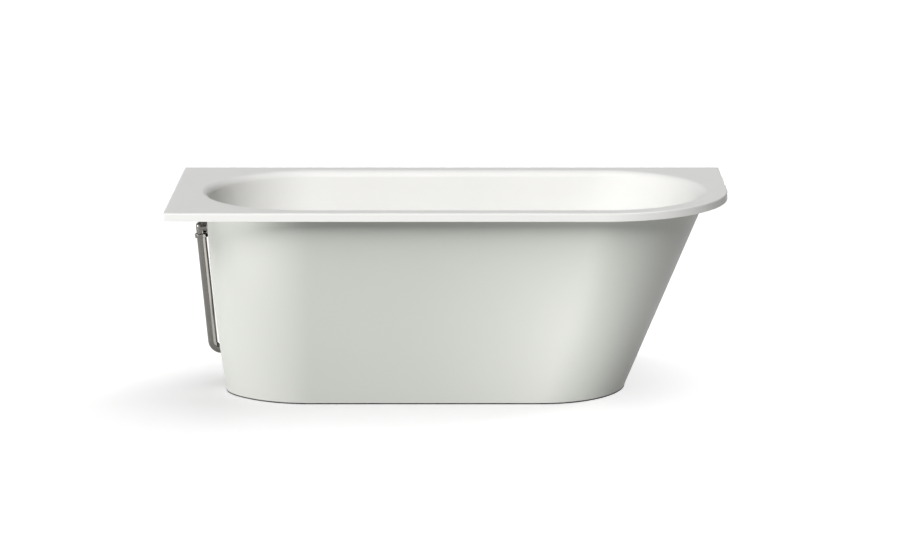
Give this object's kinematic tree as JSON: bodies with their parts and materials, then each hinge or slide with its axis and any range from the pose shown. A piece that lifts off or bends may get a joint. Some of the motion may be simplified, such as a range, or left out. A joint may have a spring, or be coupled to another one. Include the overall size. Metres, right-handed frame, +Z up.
{
  "type": "built-in bathtub",
  "caption": "Corner bath of enamelled steel with a rounded rim corner, wrap-around skirt panel, levelling legs, trap and knob-driven pop-up drain.",
  "frame": {"origin": "middle of the bounding box at floor level", "axes": "+X along the length to the backrest end, +Y to the wall behind, +Z up"},
  "size_m": [1.7, 0.75, 0.6],
  "materials": {
    "enamel_white": "glossy white enamel on pressed steel",
    "enamel_green": "satin pale green enamel on steel sheet",
    "chrome": "bright chrome plate",
    "zinc_steel": "zinc plated steel",
    "rubber": "black rubber",
    "bitumen": "bitumen felt",
    "bond": "cured bonding compound",
    "white_plastic": "white polypropylene",
    "dark_plastic": "black moulded plastic"
  },
  "bodies": {
    "bath": {"bath_shell": "enamel_white", "skirt_panel": "enamel_green", "overflow_elbow": "chrome", "overflow_collar": "chrome", "overflow_pipe": "chrome", "overflow_face": "chrome", "drain_flange": "chrome", "foot_bar_left": "zinc_steel", "foot_bar_right": "zinc_steel", "leg_weld_nuts": "zinc_steel", "leg_lock_nuts": "zinc_steel", "earth_lug": "zinc_steel", "earth_screw": "zinc_steel", "lever_pin": "zinc_steel", "skirt_floor_seal": "rubber", "drain_flange_seal": "rubber", "drain_body_seal": "rubber", "trap_washer": "rubber", "waste_outlet_ring": "rubber", "overflow_inner_seal": "rubber", "overflow_outer_seal": "rubber", "sound_mats": "bitumen", "rim_bonding_blocks": "bond", "foot_bar_pads": "bond", "drain_body": "white_plastic", "trap_bend": "white_plastic", "trap_nut": "white_plastic", "waste_outlet_pipe": "white_plastic", "overflow_pipe_nut": "white_plastic", "control_cable": "dark_plastic", "cable_guide_upper": "dark_plastic", "cable_guide_lower": "dark_plastic"},
    "knob": {"overflow_knob": "chrome", "knob_spindle": "zinc_steel", "spindle_crank": "dark_plastic"},
    "plug": {"drain_plug": "chrome", "plug_ring": "rubber", "plug_stem": "zinc_steel"},
    "lever": {"lift_lever": "dark_plastic"},
    "leg_front_left": {"leg_stud_front_left": "zinc_steel", "leg_foot_front_left": "dark_plastic"},
    "leg_back_left": {"leg_stud_back_left": "zinc_steel", "leg_foot_back_left": "dark_plastic"},
    "leg_front_right": {"leg_stud_front_right": "zinc_steel", "leg_foot_front_right": "dark_plastic"},
    "leg_back_right": {"leg_stud_back_right": "zinc_steel", "leg_foot_back_right": "dark_plastic"}
  },
  "joints": [
    {"name": "knob_turn", "type": "hinge", "parent": "bath", "child": "knob", "pos_m": [-0.73294, 0, 0.485], "axis": [0.9962, 0, 0.0872], "range_deg": [0, 90]},
    {"name": "plug_lift", "type": "slide", "parent": "bath", "child": "plug", "axis": [0, 0, 1], "range_m": [0, 0.0122]},
    {"name": "lever_swing", "type": "hinge", "parent": "bath", "child": "lever", "pos_m": [-0.5337, 0, 0.116], "axis": [0, -1, 0], "range_deg": [0, 48]},
    {"name": "leg_front_left_level", "type": "slide", "parent": "bath", "child": "leg_front_left", "axis": [0, 0, 1], "range_m": [-0.02, 0.01]},
    {"name": "leg_back_left_level", "type": "slide", "parent": "bath", "child": "leg_back_left", "axis": [0, 0, 1], "range_m": [-0.02, 0.01]},
    {"name": "leg_front_right_level", "type": "slide", "parent": "bath", "child": "leg_front_right", "axis": [0, 0, 1], "range_m": [-0.02, 0.01]},
    {"name": "leg_back_right_level", "type": "slide", "parent": "bath", "child": "leg_back_right", "axis": [0, 0, 1], "range_m": [-0.02, 0.01]}
  ],
  "couplings": [
    {"joint": "plug_lift", "follows": "knob_turn", "m_per_rad": 0.0077681},
    {"joint": "lever_swing", "follows": "knob_turn", "ratio": 0.53333}
  ]
}
